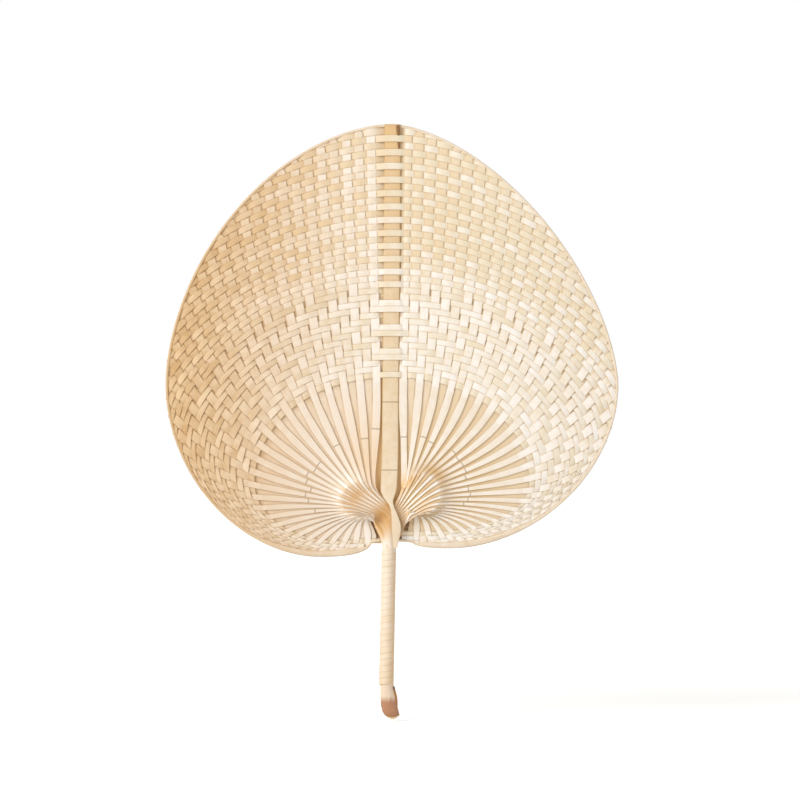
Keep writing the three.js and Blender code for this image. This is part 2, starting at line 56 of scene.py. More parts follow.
leafPlan = {
    "halfWidth": 150, "top": 326.5, "widest": 153.6, "lobePower": 1.9,
    "cornerOffset": 13.5, "cornerHeight": 49, "cornerRound": 2.5,
    "edging": 1.8, "lobeEdging": 4.2,
}
sideShapes = [
    {
        "name": "left", "sign": -1, "lobeBottom": 39.7, "lobeOffset": 47.7, "shoulder": 1.8,
        "neckSide": 10.8, "neckFoot": 5.4, "buttBottom": 62.0, "weftEnd": 1.07, "rimEnd": 7.5, "tickSpan": 55,
        "knuckle": (20.0, 77.5), "knuckleSize": (13.0, 11.6), "knuckleTurn": (-50, 196),
        "lowerDrop": 36, "lowerSweep": 105, "ribRoom": 7.4, "frontShare": 1.5, "ribStake": 0.6,
        # tones of the free stakes in front and behind, the ones behind darker as painted shade, their painted
        # warm shade beside the rib and away from it, and tones and warmth of the stakes and the wefts in the
        # upper rows, which are painted light and shade
        "freeTones": (-1.3, -0.45), "lowWarm": (0.5, 0.24), "neckWarm": 0.98, "gillTone": -1.2,
        "lineShade": 0.25, "topTones": (-0.15, 0.15), "topWarm": (0.0, 0.14),
        # colour of the knuckle, amber mostly warm painted shade on slopes turned from the light and glow
        # painted highlight: share of the stretch, stake's place, both spreads and strength
        "amber": [(0.225, 0.42, 0.055, 0.22, 0.8), (0.5, 0.08, 0.3, 0.13, 0.5)],
        "glow": [(0.39, 0.5, 0.07, 0.4, 1.1)],
    },
    {
        "name": "right", "sign": 1, "lobeBottom": 45.4, "lobeOffset": 38.4, "shoulder": 1.62,
        "neckSide": 7.2, "neckFoot": 1.5, "buttBottom": 59.5, "weftEnd": 1.08, "rimEnd": 4.0, "tickSpan": 49,
        "knuckle": (19.0, 81.5), "knuckleSize": (12.6, 13.2), "knuckleTurn": (-72, 202),
        "lowerDrop": 30, "lowerSweep": 95, "ribRoom": 4.6, "frontShare": 1.3, "ribStake": 0.95,
        "freeTones": (-0.1, 0.6), "lowWarm": (0.5, 0.5), "neckWarm": 0.5, "gillTone": -0.2,
        "lineShade": 0.9, "topTones": (0.7, 0.3), "topWarm": (0.2, 0.0),
        "amber": [(0.24, 0.16, 0.1, 0.14, 0.85), (0.42, 0.36, 0.08, 0.2, 0.75), (0.18, 0.75, 0.08, 0.2, 0.5)],
        "glow": [(0.31, 0.5, 0.035, 0.3, 0.6)],
    },
]
ringPlan = {"eye": 86.8, "halfWidth": 89, "rise": 71.5, "lowerSpan": 68, "upperSteps": 120, "lowerSteps": 80}
gripPlan = {"length": 94, "lean": 1.12, "offset": 2, "radius": 4.55}


# small helpers

def lerp(a, b, t):
    return a + (b - a) * t


def clamp(value, low, high):
    return max(low, min(high, value))


def smooth(t):
    t = clamp(t, 0, 1)
    return t * t * (3 - 2 * t)


def fade(value, start, end):  # 0 up to start, 1 from end on, and soft between
    return smooth((value - start) / (end - start))


def gripShift(height):  # the grip stands left of the leaf's middle, and leans further left downwards
    below = min(0, height - gripPlan["length"] / 2)
    return below * math.tan(math.radians(gripPlan["lean"])) - gripPlan["offset"]


def metres(point):  # from the leaf's own millimetres to the frame, whose origin is the middle of the grip
    return Vector((point[0] - gripShift(0), point[1], point[2])) / 1000


def colour(hexText):  # sRGB hex to the linear values that shaders take
    channels = [int(hexText[place:place + 2], 16) / 255 for place in (0, 2, 4)]
    linear = [c / 12.92 if c <= 0.04045 else ((c + 0.055) / 1.055) ** 2.4 for c in channels]
    return (*linear, 1.0)


def addObject(name, data):
    made = bpy.data.objects.new(name, data)
    bpy.context.scene.collection.objects.link(made)
    return made


def newMaterial(name):
    finish = bpy.data.materials.new(name)
    finish.use_nodes = True
    return finish, finish.node_tree


def setInputs(tree, node, inputs):  # values and links; a node stands for its own result
    for socket, value in inputs.items():
        if isinstance(value, bpy.types.Node):
            value = value.outputs.get("Result", value.outputs[0])
        if isinstance(value, bpy.types.NodeSocket):
            tree.links.new(value, node.inputs[socket])
        else:
            node.inputs[socket].default_value = value


def addNode(tree, kind, inputs=None, **settings):  # one node with its settings, values and links
    node = tree.nodes.new(kind)
    for name, value in settings.items():
        setattr(node, name, value)
    setInputs(tree, node, inputs or {})
    return node


# leaf outline, ring and the lie of the stakes

def lobePoint(side, turn):  # 0 at the widest point, 90 at the lobe's lowest point, 180 at the neck corner
    offset, bottom = side["lobeOffset"], side["lobeBottom"]
    if turn > 90:
        t = turn / 90 - 1
        a, b, c = (1 - t) ** 2, 2 * t * (1 - t), t * t
        corner = leafPlan["cornerOffset"]
        x = a * offset + b * (corner + leafPlan["cornerRound"]) + c * corner
        return Vector((x, (a + b) * bottom + c * leafPlan["cornerHeight"]))
    power = 2 / leafPlan["lobePower"]
    across = (leafPlan["halfWidth"] - offset) * max(0, math.cos(math.radians(turn))) ** power
    down = (leafPlan["widest"] - bottom) * math.sin(math.radians(turn)) ** power
    return Vector((offset + across, leafPlan["widest"] - down))


def outlinePoint(side, angle):  # 0 at the top, 180 straight down, seen from the middle of the widest line
    if angle <= 90:
        sine = math.sin(math.radians(angle))
        cosine = max(0, math.cos(math.radians(angle)))
        power = side["shoulder"]
        total = (sine / leafPlan["halfWidth"]) ** power
        total += (cosine / (leafPlan["top"] - leafPlan["widest"])) ** power
        reach = total ** (-1 / power)
        return Vector((reach * sine, leafPlan["widest"] + reach * cosine))
    low, high = 0.0, 180.0
    for halving in range(26):
        middle = (low + high) / 2
        point = lobePoint(side, middle)
        seen = 90 + math.degrees(math.atan2(leafPlan["widest"] - point.y, point.x))
        if seen < angle:
            low = middle
        else:
            high = middle
    return lobePoint(side, low)


def insetPoint(side, angle, distance):
    before = outlinePoint(side, max(0, angle - 0.5))
    after = outlinePoint(side, angle + 0.5)
    if angle < 0.5:
        before = Vector((-after.x, after.y))
    along = (after - before).normalized()
    return outlinePoint(side, angle) + Vector((along.y, -along.x)) * distance


def ringTable(side):  # inner edge of the weave: a quarter ellipse over the eye and a hanging curve under it
    points = []
    upperSteps, lowerSteps = ringPlan["upperSteps"], ringPlan["lowerSteps"]
    for step in range(upperSteps + 1):
        turn = math.radians(90 * step / upperSteps)
        x = ringPlan["halfWidth"] * math.sin(turn)
        points.append(Vector((x, ringPlan["eye"] + ringPlan["rise"] * math.cos(turn))))
    for step in range(1, lowerSteps + 1):
        turn = math.radians(90 * step / lowerSteps)
        x = ringPlan["halfWidth"] - ringPlan["lowerSpan"] * (1 - math.cos(turn))
        drop = side["lowerDrop"] * math.sin(math.radians(side["lowerSweep"] * step / lowerSteps))
        points.append(Vector((x, ringPlan["eye"] - drop)))
    lengths = [0.0]
    for a, b in zip(points, points[1:]):
        lengths.append(lengths[-1] + (b - a).length)
    return points, lengths


ringTables = {side["name"]: ringTable(side) for side in sideShapes}


def ringLength(side):
    return ringTables[side["name"]][1][-1]


def ringPoint(side, place):
    ringPoints, ringLengths = ringTables[side["name"]]
    target = clamp(place, 0, 1) * ringLengths[-1]
    step = 1
    while step < len(ringLengths) - 1 and ringLengths[step] < target:
        step += 1
    share = (target - ringLengths[step - 1]) / (ringLengths[step] - ringLengths[step - 1])
    point = ringPoints[step - 1].lerp(ringPoints[step], share)
    if place > 1:
        point = point - Vector(((place - 1) * ringLengths[-1], 0))
    return point


def leanWay(lean):
    return Vector((math.sin(math.radians(lean)), math.cos(math.radians(lean))))


stakePlan = {
    "perSide": 50, "width": 4.6, "thickness": 0.42, "lastPlace": 1.05,
    "farPitch": 0.86, "nearGain": 0.44, "wideShare": 0.55,
    "buttTop": 75.0, "buttIn": 1.8, "lastLean": 178, "leanPower": 1.57,
    "knuckleShare": 0.3, "knuckleReach": 5.0, "knuckleMost": 0.3, "turnOut": 1.2,
    "leaveReach": 0.35, "arriveReach": 0.4, "wovenReach": 0.45,
    "rimInset": 0.55, "neckPlace": 1.03, "neckEnd": 1.2,
    "rimSpread": 168, "rimSway": 11, "swing": 0.34, "hump": 4.5, "humpFall": 0.15, "ribHump": 0.55,
    "footRadius": 4.0, "footIn": -0.6, "footScale": 0.4, "footReach": 0.45, "buttReach": 0.3,
    "neckBottom": 43.5, "neckDepth": 3.0, "warmStray": (0.7, 1.1),
    "neckTilt": 0.35, "leastScales": (0.34, 0.5), "fullScales": (1.25, 1.0), "backShare": 1.96,
    "holeShare": 0.5, "wovenShares": (0.98, 0.82, 1.12), "narrowest": 0.5, "widest": 1.35, "endScale": 0.45,
    "lift": 0.32, "foldDepth": 0.2, "gillEdge": 0.4, "lineWarm": 0.6, "lineTone": 0.9,
    "tones": (0.28, 0.5), "toneStray": 0.16, "neckTone": -0.5, "wovenTone": -0.3, "unlike": 0.25,
    "tickHeight": 84, "tickRise": 37, "lastTick": 0.72, "tickChance": 0.7, "tickStray": 2.2,
    "neckSteps": 6, "freeSteps": 44, "rowSteps": 3, "seed": 11,
}


def ringLean(side, place):  # below the eye the stakes run straight away from the knuckle
    curved = stakePlan["lastLean"] * clamp(place, 0, 1.1) ** stakePlan["leanPower"]
    away = ringPoint(side, place) - Vector(side["knuckle"])
    straight = math.degrees(math.atan2(away.x, away.y))
    if straight < -90:
        straight += 360
    return lerp(curved, min(straight, 180), fade(place, 0.55, 0.75))


def rimAngle(place):
    sway = stakePlan["rimSway"] * (1 - fade(place, 0.55, 0.75))
    return stakePlan["rimSpread"] * place - sway * math.sin(2 * math.pi * place)


wovenCache = {}


def wovenCurve(side, place):  # woven stretch of a stake, from the ring to the rim
    key = (side["name"], round(place, 6))
    if key not in wovenCache:
        start = ringPoint(side, place)
        end = insetPoint(side, rimAngle(place), leafPlan["edging"] * stakePlan["rimInset"])
        if place > stakePlan["neckPlace"]:  # beside the neck the rows run level up to it
            end = Vector((start.x, leafPlan["cornerHeight"] + stakePlan["neckEnd"]))
        length = (end - start).length
        control = start + leanWay(ringLean(side, place)) * length * stakePlan["wovenReach"]
        wovenCache[key] = (start, control, end, length)
    return wovenCache[key]


def wovenPoint(side, place, reach):
    start, control, end, length = wovenCurve(side, place)
    t = reach / length
    return start * (1 - t) ** 2 + control * (2 * t * (1 - t)) + end * t * t


def wovenTangent(side, place, reach):
    start, control, end, length = wovenCurve(side, place)
    t = clamp(reach / length, 0, 1)
    return ((control - start) * (1 - t) + (end - control) * t).normalized()


def stakePlace(side, index):  # the stakes stand widest apart beside the rib
    wide, gain = stakePlan["wideShare"], stakePlan["nearGain"]
    first = side["ribRoom"] / ringLength(side)
    share = (index + 0.5) / stakePlan["perSide"]
    near = min(share, wide)
    spread = stakePlan["farPitch"] * share + gain * (near - near ** 2 / (2 * wide))
    total = stakePlan["farPitch"] + gain * wide / 2
    return first + (stakePlan["lastPlace"] - first) * spread / total


def bend(start, startWay, end, endWay, share):  # cubic from one point to the other, given both handles
    left = 1 - share
    early = start * left ** 3 + (start + startWay) * (3 * left * left * share)
    return early + (end - endWay) * (3 * left * share * share) + end * share ** 3


def freePoint(side, place, share):  # free stretch of a stake: from the neck, round the knuckle, to the ring
    start = Vector((stakePlan["buttIn"], stakePlan["buttTop"]))
    start = start.lerp(Vector((side["neckSide"], side["buttBottom"])), place)
    turn = math.radians(lerp(*side["knuckleTurn"], place))
    middle, size = side["knuckle"], side["knuckleSize"]
    knuckle = Vector((middle[0] + size[0] * math.sin(turn), middle[1] + size[1] * math.cos(turn)))
    end = ringPoint(side, place)
    before, after = knuckle - start, end - knuckle
    way = (before.normalized() + after.normalized() * stakePlan["turnOut"]).normalized()
    split, leave = stakePlan["knuckleShare"], stakePlan["leaveReach"]
    if share < split:
        return bend(start, before * leave, knuckle, way * before.length * leave, share / split)
    reach = min(stakePlan["knuckleReach"], after.length * stakePlan["knuckleMost"])
    arrive = leanWay(ringLean(side, place)) * after.length * stakePlan["arriveReach"]
    return bend(knuckle, way * reach, end, arrive, (share - split) / (1 - split))


# weave pattern: plain along the first row and towards the top, two over and two under between

weavePlan = {
    "rows": 39, "start": 0.4, "topRoom": 1.4, "twillRows": 15,
    "flankGap": 2.5, "flankFirst": 5.3, "flankFew": 5, "flankRest": 3.7, "underPitch": 3.1,
}
ribRun = wovenCurve(sideShapes[1], 0)[3] - weavePlan["topRoom"]
rowPitch = (ribRun - weavePlan["start"]) / weavePlan["rows"]


def rowReach(count, place):  # from the ring to a row's edge: even at the rib, closer on the flank and below
    few = min(count, weavePlan["flankFew"])
    flank = weavePlan["flankGap"] + weavePlan["flankFirst"] * few + weavePlan["flankRest"] * (count - few)
    reach = lerp(rowPitch * count, flank, fade(place, 0, 0.4))
    return weavePlan["start"] + lerp(reach, weavePlan["underPitch"] * count, fade(place, 0.5, 0.75))


def weftFace(stake, row):  # -1 where the row passes in front of the stake, 1 where it passes behind
    if row == 0:
        return 1 if stake % 2 else -1
    if row >= weavePlan["twillRows"]:
        return -1 if (stake + row) % 2 else 1
    return -1 if (stake + row + 1) % 4 < 2 else 1


# one tree sweeps every splint along its path

def sweepTree():
    tree = bpy.data.node_groups.new("splintSweep", "GeometryNodeTree")
    sockets = {
        "Paths": "Geometry", "Width": "Float", "Thickness": "Float", "Edge": "Float", "Crown": "Float",
        "Corners": "Int", "Finish": "Material",
    }
    for name, kind in sockets.items():
        tree.interface.new_socket(name, in_out="INPUT", socket_type="NodeSocket" + kind)
    tree.interface.new_socket("Splints", in_out="OUTPUT", socket_type="NodeSocketGeometry")
    given = addNode(tree, "NodeGroupInput").outputs
    wide = addNode(tree, "GeometryNodeInputNamedAttribute", {"Name": "wideWay"}, data_type="FLOAT_VECTOR")
    size = addNode(tree, "GeometryNodeInputNamedAttribute", {"Name": "size"}, data_type="FLOAT")
    curves = addNode(tree, "GeometryNodeMeshToCurve", {"Mesh": given["Paths"]})
    turned = addNode(tree, "GeometryNodeSetCurveNormal", {"Curve": curves, "Normal": wide}, mode="FREE")
    # the section is a circle pressed flat: Edge squares its sides and Crown flattens its faces
    section = addNode(tree, "GeometryNodeCurvePrimitiveCircle", {
        "Resolution": given["Corners"], "Radius": 1.0,
    })
    spot = addNode(tree, "ShaderNodeSeparateXYZ", {0: addNode(tree, "GeometryNodeInputPosition")}).outputs
    pressed = {}
    for axis, power, span, mark in (("X", "Edge", "Width", "across"), ("Y", "Crown", "Thickness", "face")):
        bare = addNode(tree, "ShaderNodeMath", {0: spot[axis]}, operation="ABSOLUTE")
        bent = addNode(tree, "ShaderNodeMath", {0: bare, 1: given[power]}, operation="POWER")
        way = addNode(tree, "ShaderNodeMath", {0: spot[axis]}, operation="SIGN")
        share = addNode(tree, "ShaderNodeMath", {0: bent, 1: way}, operation="MULTIPLY")
        half = addNode(tree, "ShaderNodeMath", {0: given[span], 1: 0.5}, operation="MULTIPLY")
        pressed[axis] = addNode(tree, "ShaderNodeMath", {0: share, 1: half}, operation="MULTIPLY")
        section = addNode(tree, "GeometryNodeStoreNamedAttribute", {
            "Geometry": section, "Name": mark, "Value": share,
        }, data_type="FLOAT", domain="POINT")
    place = addNode(tree, "ShaderNodeCombineXYZ", pressed)
    section = addNode(tree, "GeometryNodeSetPosition", {"Geometry": section, "Position": place})
    swept = addNode(tree, "GeometryNodeCurveToMesh", {
        "Curve": turned, "Profile Curve": section, "Scale": size, "Fill Caps": True,
    })
    soft = addNode(tree, "GeometryNodeSetShadeSmooth", {"Geometry": swept})
    real = addNode(tree, "GeometryNodeRealizeInstances", {0: soft})
    done = addNode(tree, "GeometryNodeSetMaterial", {"Geometry": real, "Material": given["Finish"]})
    addNode(tree, "NodeGroupOutput", {0: done})
    return tree


splintSweep = sweepTree()
strandPlain = {"size": 1, "brink": 1, "raised": 0, "warm": 0}  # for a strand that doesn't say otherwise
noTick = -1000  # a joint scar far off the splint


def sweep(name, strands, finish, width, thickness, edge=0.2, crown=0.22, corners=12):
    mesh = bpy.data.meshes.new(name + "Paths")
    points, edges, wide = [], [], []
    values = {key: [] for key in (*strandPlain, "along", "tone", "tick", "tickB")}
    for strand in strands:
        run = 0.0
        for step, point in enumerate(strand["points"]):
            if step:
                edges.append((len(points) - 1, len(points)))
                run += (Vector(point) - Vector(strand["points"][step - 1])).length
            points.append(metres(point))
            wide.extend(Vector(strand["wide"][step]).normalized())
            for key, plain in strandPlain.items():
                values[key].append(strand[key][step] if key in strand else plain)
            values["along"].append(run / 1000)
            values["tone"].append(strand["tone"] + (strand["shift"][step] if "shift" in strand else 0))
            for key in ("tick", "tickB"):
                values[key].append(strand.get(key, noTick) / 1000)
    mesh.from_pydata(points, edges, [])
    for key, numbers in values.items():
        mesh.attributes.new(key, "FLOAT", "POINT").data.foreach_set("value", numbers)
    mesh.attributes.new("wideWay", "FLOAT_VECTOR", "POINT").data.foreach_set("vector", wide)
    paths = addObject(name + "Paths", mesh)
    modifier = paths.modifiers.new("sweep", "NODES")
    modifier.node_group = splintSweep
    given = {
        "Width": width / 1000, "Thickness": thickness / 1000, "Edge": edge, "Crown": crown,
        "Corners": corners, "Finish": finish,
    }
    for item in splintSweep.interface.items_tree:
        if item.in_out == "INPUT" and item.name in given:
            modifier[item.identifier] = given[item.name]
    bpy.context.view_layer.update()
    shape = paths.evaluated_get(bpy.context.evaluated_depsgraph_get())
    finished = bpy.data.meshes.new_from_object(shape)
    finished.name = name
    bpy.data.objects.remove(paths)
    print(name, "swept:", len(strands), "splints,", len(finished.polygons), "faces")
    return addObject(name, finished)


# materials

splintColours = {  # in pairs, for the browner left side and the paler right side of the leaf: partly the splints' own colour, partly painted light that washes the right side pale
    "pale": ("e1c094", "fdf4ea"), "tan": ("c89e68", "eddbbd"), "edge": ("ae7e44", "cdab74"),
    "hollow": ("bc8a4c", "dabd8f"), "bright": ("fff6ea", "fffaf4"), "warm": ("e8b05a", "e6b264"),
    "tick": ("86602c", "90703e"),
}
splintLook = {
    # millimetres: real fibre bundles are about 0.3 wide, too fine to show, so they are drawn coarser
    "fibre": 1.1, "halfWidth": 2.0, "blotch": 7.0, "tickWidth": 0.6, "sideSpan": (-150, 25),
    "fibreStretch": 25, "fibreWeight": 0.9, "blotchWeight": 1.1, "toneJump": 91.7, "roughness": (0.42, 0.62),
}


def splintMaterial(name, **ownColours):  # split bamboo, scraped flat: long fibres, satin face, brown edges that are partly painted shade in the gaps between splints
    look = splintLook
    finish, tree = newMaterial(name)
    read = {}
    for key in ("along", "across", "face", "tone", "brink", "raised", "warm", "tick", "tickB"):
        read[key] = addNode(tree, "ShaderNodeAttribute", attribute_name=key).outputs["Fac"]
    place = addNode(tree, "ShaderNodeTexCoord").outputs["Object"]
    # fibres run along the splint, and its tone moves each splint to another stretch of the pattern
    scales = {
        "along": 1000 / (look["fibre"] * look["fibreStretch"]),
        "across": look["halfWidth"] / look["fibre"], "tone": look["toneJump"],
    }
    spots = {}
    for axis, (key, scale) in enumerate(scales.items()):
        spots[axis] = addNode(tree, "ShaderNodeMath", {0: read[key], 1: scale}, operation="MULTIPLY")
    fibreSpot = addNode(tree, "ShaderNodeCombineXYZ", spots)
    fibre = addNode(tree, "ShaderNodeTexNoise", {"Vector": fibreSpot, "Scale": 1.0, "Detail": 3.0})
    blotch = addNode(tree, "ShaderNodeTexNoise", {
        "Vector": place, "Scale": 1000 / look["blotch"], "Detail": 2.0,
    })
    total = read["tone"]
    for pattern, weight in ((fibre, look["fibreWeight"]), (blotch, look["blotchWeight"])):
        total = addNode(tree, "ShaderNodeMath", {0: pattern, 1: weight, 2: total}, operation="MULTIPLY_ADD")
    side = addNode(tree, "ShaderNodeMapRange", {
        "Value": addNode(tree, "ShaderNodeSeparateXYZ", {0: place}).outputs["X"],
        "From Min": look["sideSpan"][0] / 1000, "From Max": look["sideSpan"][1] / 1000,
    }, interpolation_type="SMOOTHSTEP")
    tint = {}
    for key, (left, right) in dict(splintColours, **ownColours).items():
        ends = {"Factor": side, "A": colour(left), "B": colour(right)}
        tint[key] = addNode(tree, "ShaderNodeMix", ends, data_type="RGBA")
    sunk = addNode(tree, "ShaderNodeMath", {0: read["raised"], 1: read["face"]}, operation="MULTIPLY")
    aside = addNode(tree, "ShaderNodeMath", {0: read["across"]}, operation="ABSOLUTE")
    brink = addNode(tree, "ShaderNodeMath", {0: read["brink"], 1: 0.8}, operation="MULTIPLY")
    # coats of colour: what each follows, where it starts and is full, and how much it covers then
    coats = [
        ("tan", total, 0.8, 1.9, 1.0),
        # the palest tone, which the glow patches reach as painted highlight
        ("bright", total, -0.1, -0.9, 0.8),
        # warmth: partly the splints' own, on the neck and the rib's top, and partly painted warm shade on the
        # knuckles, the stakes behind, the gills' folds, the upper rows and the grip's right side
        ("warm", read["warm"], 0.0, 1.0, 1.0),
        ("hollow", sunk, 0.2, -0.9, 0.55),  # painted shade where a splint dives, on the face that looks that way
        # brown edges: partly the splint's own, partly painted shade in the gaps between splints
        ("edge", aside, 0.8, 0.98, brink),
    ]
    for key in ("tick", "tickB"):  # dark scars where the culm had its joints
        gap = addNode(tree, "ShaderNodeMath", {0: read["along"], 1: read[key]}, operation="SUBTRACT")
        near = addNode(tree, "ShaderNodeMath", {0: gap}, operation="ABSOLUTE")
        reach = look["tickWidth"] / 1000
        coats.append(("tick", near, reach, reach * 0.4, 0.55))
    base = tint["pale"]
    for key, value, start, full, cover in coats:
        share = addNode(tree, "ShaderNodeMapRange", {
            "Value": value, "From Min": start, "From Max": full, "To Max": cover,
        })
        base = addNode(tree, "ShaderNodeMix", {"Factor": share, "A": base, "B": tint[key]}, data_type="RGBA")
    low, high = look["roughness"]
    satin = addNode(tree, "ShaderNodeMapRange", {"Value": fibre, "To Min": low, "To Max": high})
    bump = addNode(tree, "ShaderNodeBump", {"Height": fibre, "Strength": 0.25, "Distance": 0.0002})
    setInputs(tree, tree.nodes["Principled BSDF"], {
        "Base Color": base, "Roughness": satin, "Normal": bump, "IOR": 1.5,
    })
    return finish


stakeBamboo = splintMaterial("splitBambooStakes")  # straw brown on the left, cream on the right, partly painted light
weftBamboo = splintMaterial(  # a touch paler, so that the rows stand out from the stakes
    "splitBambooWefts", pale=("e3c398", "fdf6ee"), tan=("c9a06b", "eedec1"),
)
bindingBamboo = splintMaterial(  # the cleanest strip, cream all round
    "splitBambooBinding", pale=("fcefdf",) * 2, tan=("e9cda6",) * 2,
)
rimBamboo = splintMaterial("splitBambooEdging", tan=("d5b385", "e6d0b2"))  # an even tan line round the leaf
shadedBamboo = splintMaterial(  # brown in front as painted shade, where it is seen through gaps, and tan behind
    "splitBambooInShade", pale=("b8986c",) * 2, tan=("9c7a50",) * 2, hollow=("f0dcc0",) * 2,
)
ribBamboo = splintMaterial(  # a thicker slat, smooth and golden
    "shavedBambooSlat", pale=("f3e2c8",) * 2, tan=("e4c79e",) * 2,
)

# millimetres, and the fibres are again drawn coarser than the real ones
rodLook = {"fibre": 0.83, "fibreStretch": 20, "wander": 1.6, "streak": (0.86, 1.1), "satin": 0.1}


def rodMaterial(name, bands, roughness):  # round bamboo: colour changes up the rod, with lengthwise fibres
    finish, tree = newMaterial(name)
    place = addNode(tree, "ShaderNodeTexCoord").outputs["Object"]
    across = 1000 / rodLook["fibre"]
    stretched = addNode(tree, "ShaderNodeMapping", {
        "Vector": place, "Scale": (across, across, across / rodLook["fibreStretch"]),
    })
    fibre = addNode(tree, "ShaderNodeTexNoise", {"Vector": stretched, "Scale": 1.0, "Detail": 3.0})
    wander = addNode(tree, "ShaderNodeMapRange", {
        "Value": fibre, "To Min": -rodLook["wander"] / 1000, "To Max": rodLook["wander"] / 1000,
    })
    spot = addNode(tree, "ShaderNodeSeparateXYZ", {0: place}).outputs
    height = addNode(tree, "ShaderNodeMath", {0: spot["Z"], 1: wander}, operation="ADD")
    base = colour(bands[0][2])
    for low, high, hexText in bands[1:]:
        share = addNode(tree, "ShaderNodeMapRange", {
            "Value": height, "From Min": low / 1000, "From Max": high / 1000,
        })
        ends = {"Factor": share, "A": base, "B": colour(hexText)}
        base = addNode(tree, "ShaderNodeMix", ends, data_type="RGBA")
    dull, clear = rodLook["streak"]
    streak = addNode(tree, "ShaderNodeMapRange", {"Value": fibre, "To Min": dull, "To Max": clear})
    toned = addNode(tree, "ShaderNodeMix", {
        "Factor": 1.0, "A": base, "B": streak,
    }, data_type="RGBA", blend_type="MULTIPLY")
    satin = addNode(tree, "ShaderNodeMapRange", {
        "Value": fibre, "To Min": roughness - rodLook["satin"], "To Max": roughness + rodLook["satin"],
    })
    bump = addNode(tree, "ShaderNodeBump", {"Height": fibre, "Strength": 0.2, "Distance": 0.0003})
    setInputs(tree, tree.nodes["Principled BSDF"], {"Base Color": toned, "Roughness": satin, "Normal": bump})
    return finish


# bands: colour from the bottom up, each fading in between two heights in millimetres
rodBamboo = rodMaterial("bareBambooRod", [
    (0, 0, "a87650"), (-66, -62, "b98562"), (-56, -52, "f0d8bd"), (50, 58, "ecca90"), (60, 68, "e0b87c"),
], 0.45)
darkBamboo = rodMaterial("darkSplitBamboo", [
    (0, 0, "b07e4e"), (-58, -52, "a9743c"), (-49, -47, "6a4a38"), (0, 300, "8a6238"),
], 0.5)
cutBamboo = rodMaterial("freshCutBamboo", [(0, 0, "f2e0b6"), (-60, 0, "e9d09c")], 0.6)


# stakes

def spotValue(spots, share, place):  # soft patches of colour on the knuckle, most of them painted shade and painted highlight
    value = 0
    for atShare, atPlace, shareSpread, placeSpread, strength in spots:
        away = ((share - atShare) / shareSpread) ** 2 + ((place - atPlace) / placeSpread) ** 2
        value = max(value, strength * math.exp(-away))
    return value


